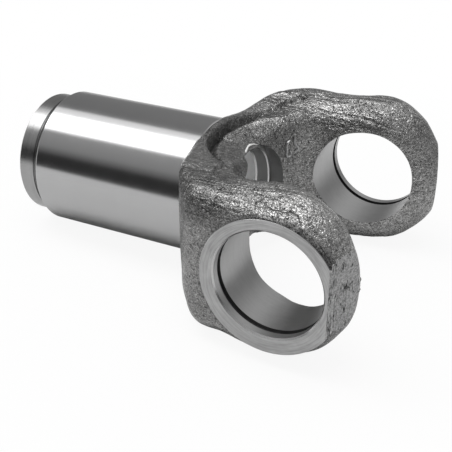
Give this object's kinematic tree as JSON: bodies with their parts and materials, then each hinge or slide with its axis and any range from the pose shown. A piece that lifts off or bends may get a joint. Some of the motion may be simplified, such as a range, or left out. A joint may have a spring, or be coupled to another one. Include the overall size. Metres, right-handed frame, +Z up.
{
  "type": "slip yoke",
  "caption": "Forged steel slip yoke: two-eared fork with bored, grooved ears on a ground barrel with a turned lip, splined inside and closed by a pressed plug.",
  "frame": {"origin": "where the axis of the bearing bores crosses the barrel's axis", "axes": "+X along the barrel's axis towards the open end of the fork, +Y along the bearing bores' axis, +Z up, square to both"},
  "size_m": [0.1188, 0.0884, 0.0471],
  "materials": {
    "forged_steel": "forged skin on the fork, ground and turned on the machined surfaces",
    "plug_steel": "smooth pressed sheet"
  },
  "bodies": {
    "root": {"yoke": "forged_steel", "bore_plug": "plug_steel"}
  },
  "joints": []
}
